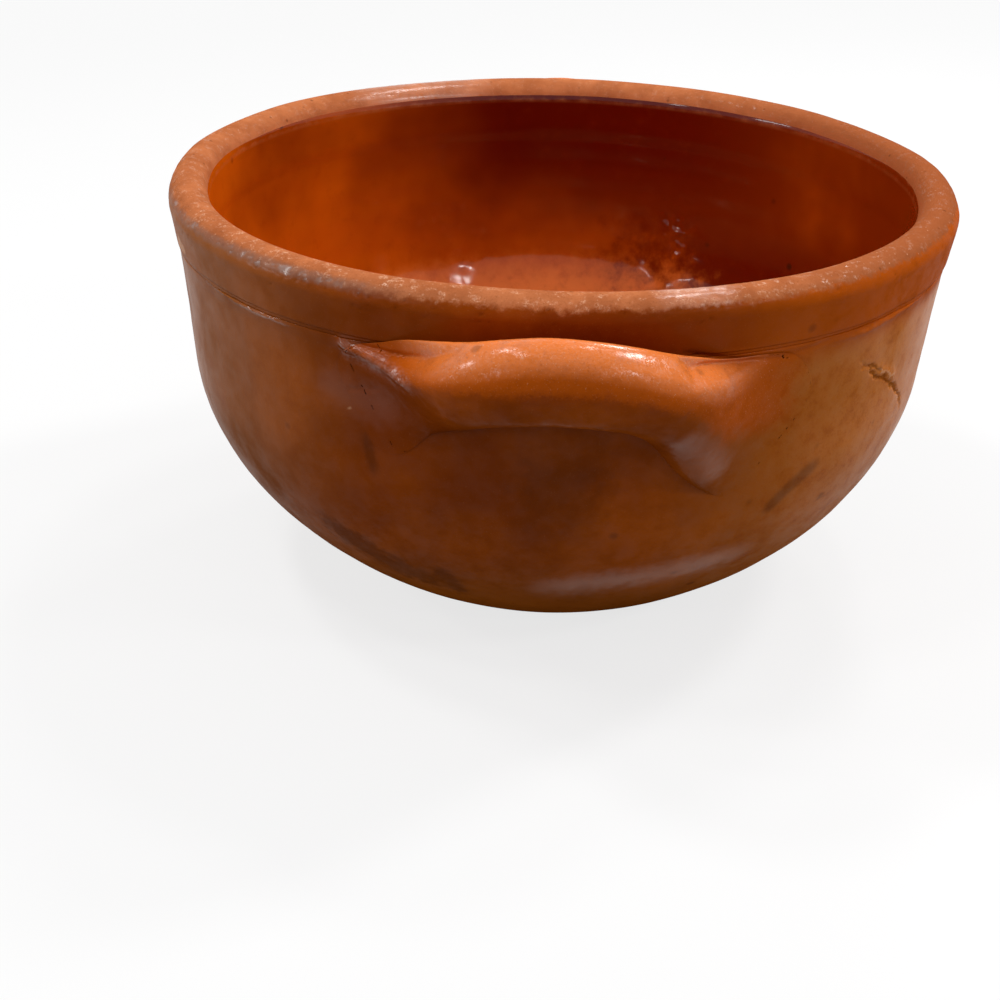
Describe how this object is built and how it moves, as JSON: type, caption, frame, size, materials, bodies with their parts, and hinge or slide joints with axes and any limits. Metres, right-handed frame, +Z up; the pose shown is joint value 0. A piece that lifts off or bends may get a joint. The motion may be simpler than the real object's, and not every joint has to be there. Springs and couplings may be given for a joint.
{
  "type": "terracotta cooking bowl",
  "caption": "Deep round terracotta cooking bowl with a luted rim coil, a glazed inside and two pressed-on coil loop handles.",
  "frame": {"origin": "centre of the flat foot, on the surface that the bowl stands on", "axes": "+Z up along the axis of the bowl, -Y towards the front handle, +Y towards the rear handle, +X to the right seen from the front handle"},
  "size_m": [0.2, 0.2374, 0.106],
  "materials": {
    "body_clay": "burnished red-brown terracotta under a thin, worn, glossy wash of clear glaze",
    "rim_clay": "matte pale terracotta, rubbed, pitted and scuffed on the lip",
    "handle_clay": "warm orange-brown terracotta with a satin glaze, smeared where it was pressed on",
    "inner_glaze": "high-gloss amber to dark red-brown glaze"
  },
  "bodies": {
    "root": {"bowl_body": "body_clay", "rim_band": "rim_clay", "front_handle": "handle_clay", "rear_handle": "handle_clay", "inner_glaze": "inner_glaze"}
  },
  "joints": []
}
